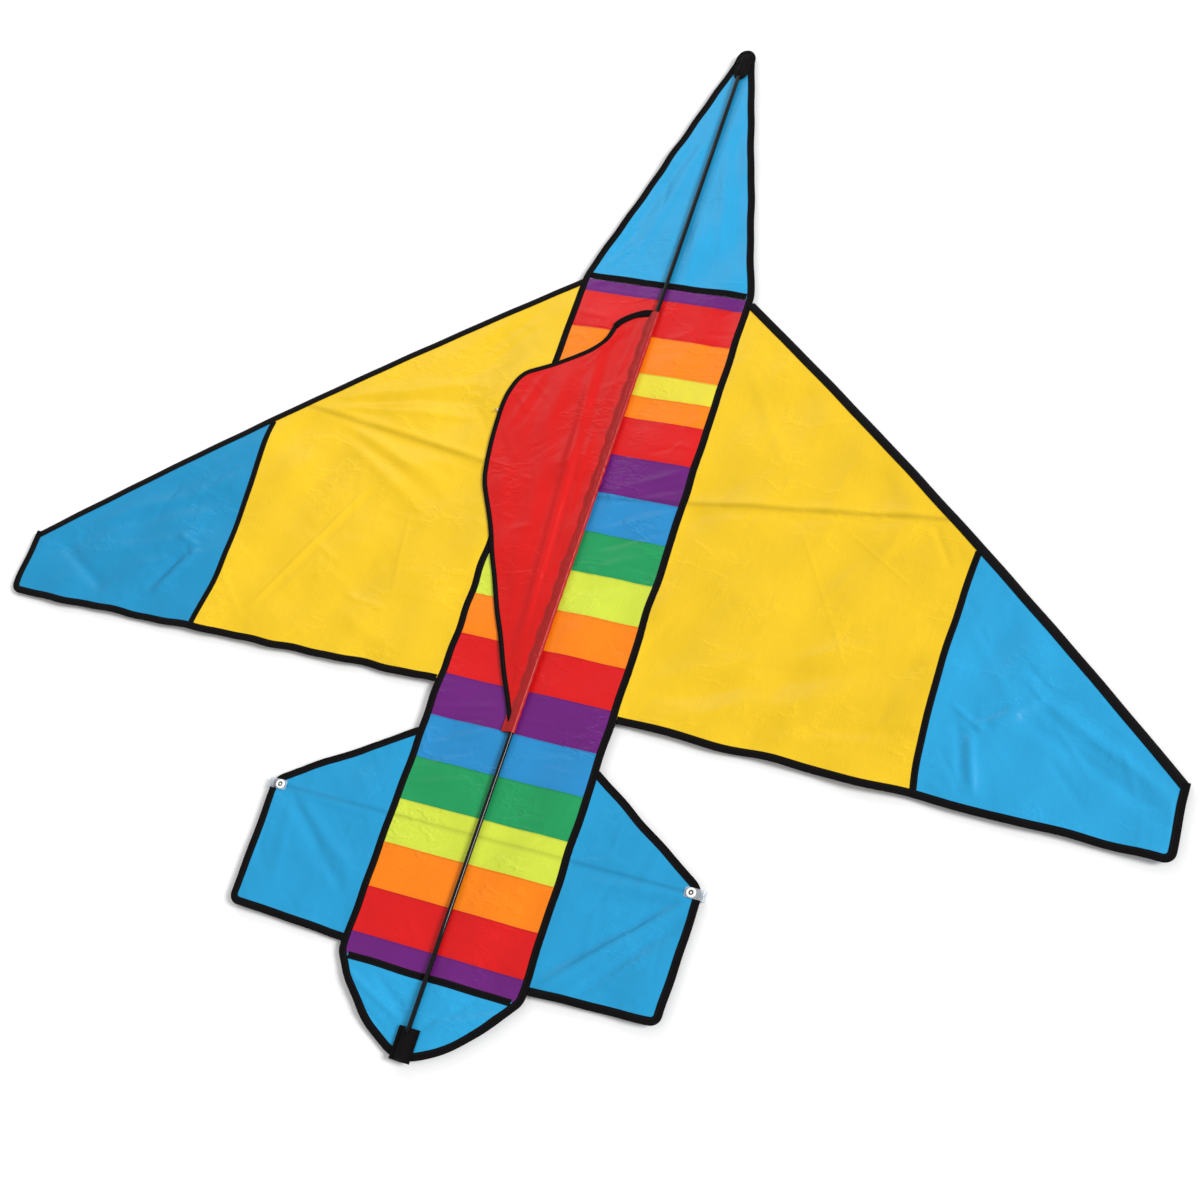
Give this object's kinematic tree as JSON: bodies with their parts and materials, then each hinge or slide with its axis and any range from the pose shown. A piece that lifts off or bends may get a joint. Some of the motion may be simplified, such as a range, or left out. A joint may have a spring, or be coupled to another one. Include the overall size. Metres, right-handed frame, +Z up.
{
  "type": "delta kite",
  "caption": "Plane-shaped single-line delta kite with a rainbow-striped body, swept wings, tail fins, a hinged keel with a tow ring, and snap tabs that hold the tail rod.",
  "frame": {"origin": "on the floor, under the middle of the kite's outline as it lies flat on its back", "axes": "+X across the wings to the right, +Y to the nose, +Z up, which is the side that faces the ground in flight"},
  "size_m": [1.607, 1.5029, 0.0196],
  "materials": {
    "black_binding": "ribbed woven tape, folded over the edge and stitched",
    "red_cloth": "light woven nylon with a faint sheen, soft packing creases",
    "sky_blue_cloth": "light woven nylon with a faint sheen, soft packing creases",
    "white_plastic": "glossy moulded plastic",
    "clear_vinyl": "clear flexible vinyl",
    "black_rod": "glossy black fibreglass rod",
    "black_vinyl": "satin black vinyl",
    "yellow_cloth": "light woven nylon with a faint sheen, soft packing creases",
    "purple_cloth": "light woven nylon with a faint sheen, soft packing creases",
    "stripe_red_cloth": "light woven nylon with a faint sheen, soft packing creases",
    "orange_cloth": "light woven nylon with a faint sheen, soft packing creases",
    "lime_cloth": "light woven nylon with a faint sheen, soft packing creases",
    "blue_cloth": "light woven nylon with a faint sheen, soft packing creases",
    "green_cloth": "light woven nylon with a faint sheen, soft packing creases",
    "steel": "plated steel wire"
  },
  "bodies": {
    "spine_and_left_half": {"left_fin_edge_tape": "black_binding", "left_fin_panel": "sky_blue_cloth", "left_leading_edge_sleeve": "black_binding", "left_leading_edge_spar": "black_rod", "left_side_binding": "black_binding", "left_spar_connector": "black_vinyl", "left_spreader_rod": "black_rod", "left_tail_rod": "black_rod", "left_tip_panel": "sky_blue_cloth", "left_wing_edge_tape": "black_binding", "left_wing_panel": "yellow_cloth", "left_wing_seam_tape": "black_binding", "nose_cap": "black_binding", "nose_panel": "sky_blue_cloth", "nose_seam_tape": "black_binding", "spine_rod": "black_rod", "spreader_joiner": "black_vinyl", "stripe_01_purple": "purple_cloth", "stripe_02_red": "stripe_red_cloth", "stripe_03_orange": "orange_cloth", "stripe_04_lime": "lime_cloth", "stripe_05_orange": "orange_cloth", "stripe_06_red": "stripe_red_cloth", "stripe_07_purple": "purple_cloth", "stripe_08_blue": "blue_cloth", "stripe_09_green": "green_cloth", "stripe_10_lime": "lime_cloth", "stripe_11_orange": "orange_cloth", "stripe_12_red": "stripe_red_cloth", "stripe_13_purple": "purple_cloth", "stripe_14_blue": "blue_cloth", "stripe_15_green": "green_cloth", "stripe_16_lime": "lime_cloth", "stripe_17_orange": "orange_cloth", "stripe_18_red": "stripe_red_cloth", "stripe_19_purple": "purple_cloth", "tail_panel": "sky_blue_cloth", "tail_pocket": "black_binding", "tail_rod_joiner": "black_vinyl", "tail_seam_tape": "black_binding"},
    "right_half": {"right_fin_edge_tape": "black_binding", "right_fin_panel": "sky_blue_cloth", "right_leading_edge_sleeve": "black_binding", "right_leading_edge_spar": "black_rod", "right_side_binding": "black_binding", "right_spar_connector": "black_vinyl", "right_spreader_rod": "black_rod", "right_tail_rod": "black_rod", "right_tip_panel": "sky_blue_cloth", "right_wing_edge_tape": "black_binding", "right_wing_panel": "yellow_cloth", "right_wing_seam_tape": "black_binding"},
    "keel": {"keel_panel": "red_cloth", "keel_sleeve": "red_cloth", "keel_edge_tape": "black_binding"},
    "tow_ring": {"tow_ring": "steel"},
    "left_fin_tab_flap": {"left_fin_tab": "clear_vinyl", "left_fin_snap": "white_plastic"},
    "right_fin_tab_flap": {"right_fin_tab": "clear_vinyl", "right_fin_snap": "white_plastic"}
  },
  "joints": [
    {"name": "sail_fold", "type": "hinge", "parent": "spine_and_left_half", "child": "right_half", "pos_m": [0, 0, 0.0148], "axis": [0, -1, 0], "range_deg": [0, 178], "deforming": ["stripe_01_purple", "stripe_02_red", "stripe_03_orange", "stripe_04_lime", "stripe_05_orange", "stripe_06_red", "stripe_07_purple", "stripe_08_blue", "stripe_09_green", "stripe_10_lime", "stripe_11_orange", "stripe_12_red", "stripe_13_purple", "stripe_14_blue", "stripe_15_green", "stripe_16_lime", "stripe_17_orange", "stripe_18_red", "stripe_19_purple", "nose_panel", "nose_seam_tape", "tail_panel", "tail_seam_tape", "tail_pocket", "spreader_joiner", "tail_rod_joiner"]},
    {"name": "keel_swing", "type": "hinge", "parent": "spine_and_left_half", "child": "keel", "pos_m": [0, 0, 0.0148], "axis": [0, 1, 0], "range_deg": [0, 180]},
    {"name": "tow_ring_swing", "type": "hinge", "parent": "keel", "child": "tow_ring", "pos_m": [-0.17425, 0.1097, 0.0148], "axis": [-0.009, 1, 0], "range_deg": [0, 22]},
    {"name": "left_fin_tab_open", "type": "hinge", "parent": "spine_and_left_half", "child": "left_fin_tab_flap", "pos_m": [-0.2989, -0.46725, 0.0106], "axis": [0, -1, 0], "range_deg": [0, 165], "deforming": ["left_fin_tab"]},
    {"name": "right_fin_tab_open", "type": "hinge", "parent": "right_half", "child": "right_fin_tab_flap", "pos_m": [0.2989, -0.46725, 0.0106], "axis": [0, 1, 0], "range_deg": [0, 165], "deforming": ["right_fin_tab"]}
  ]
}
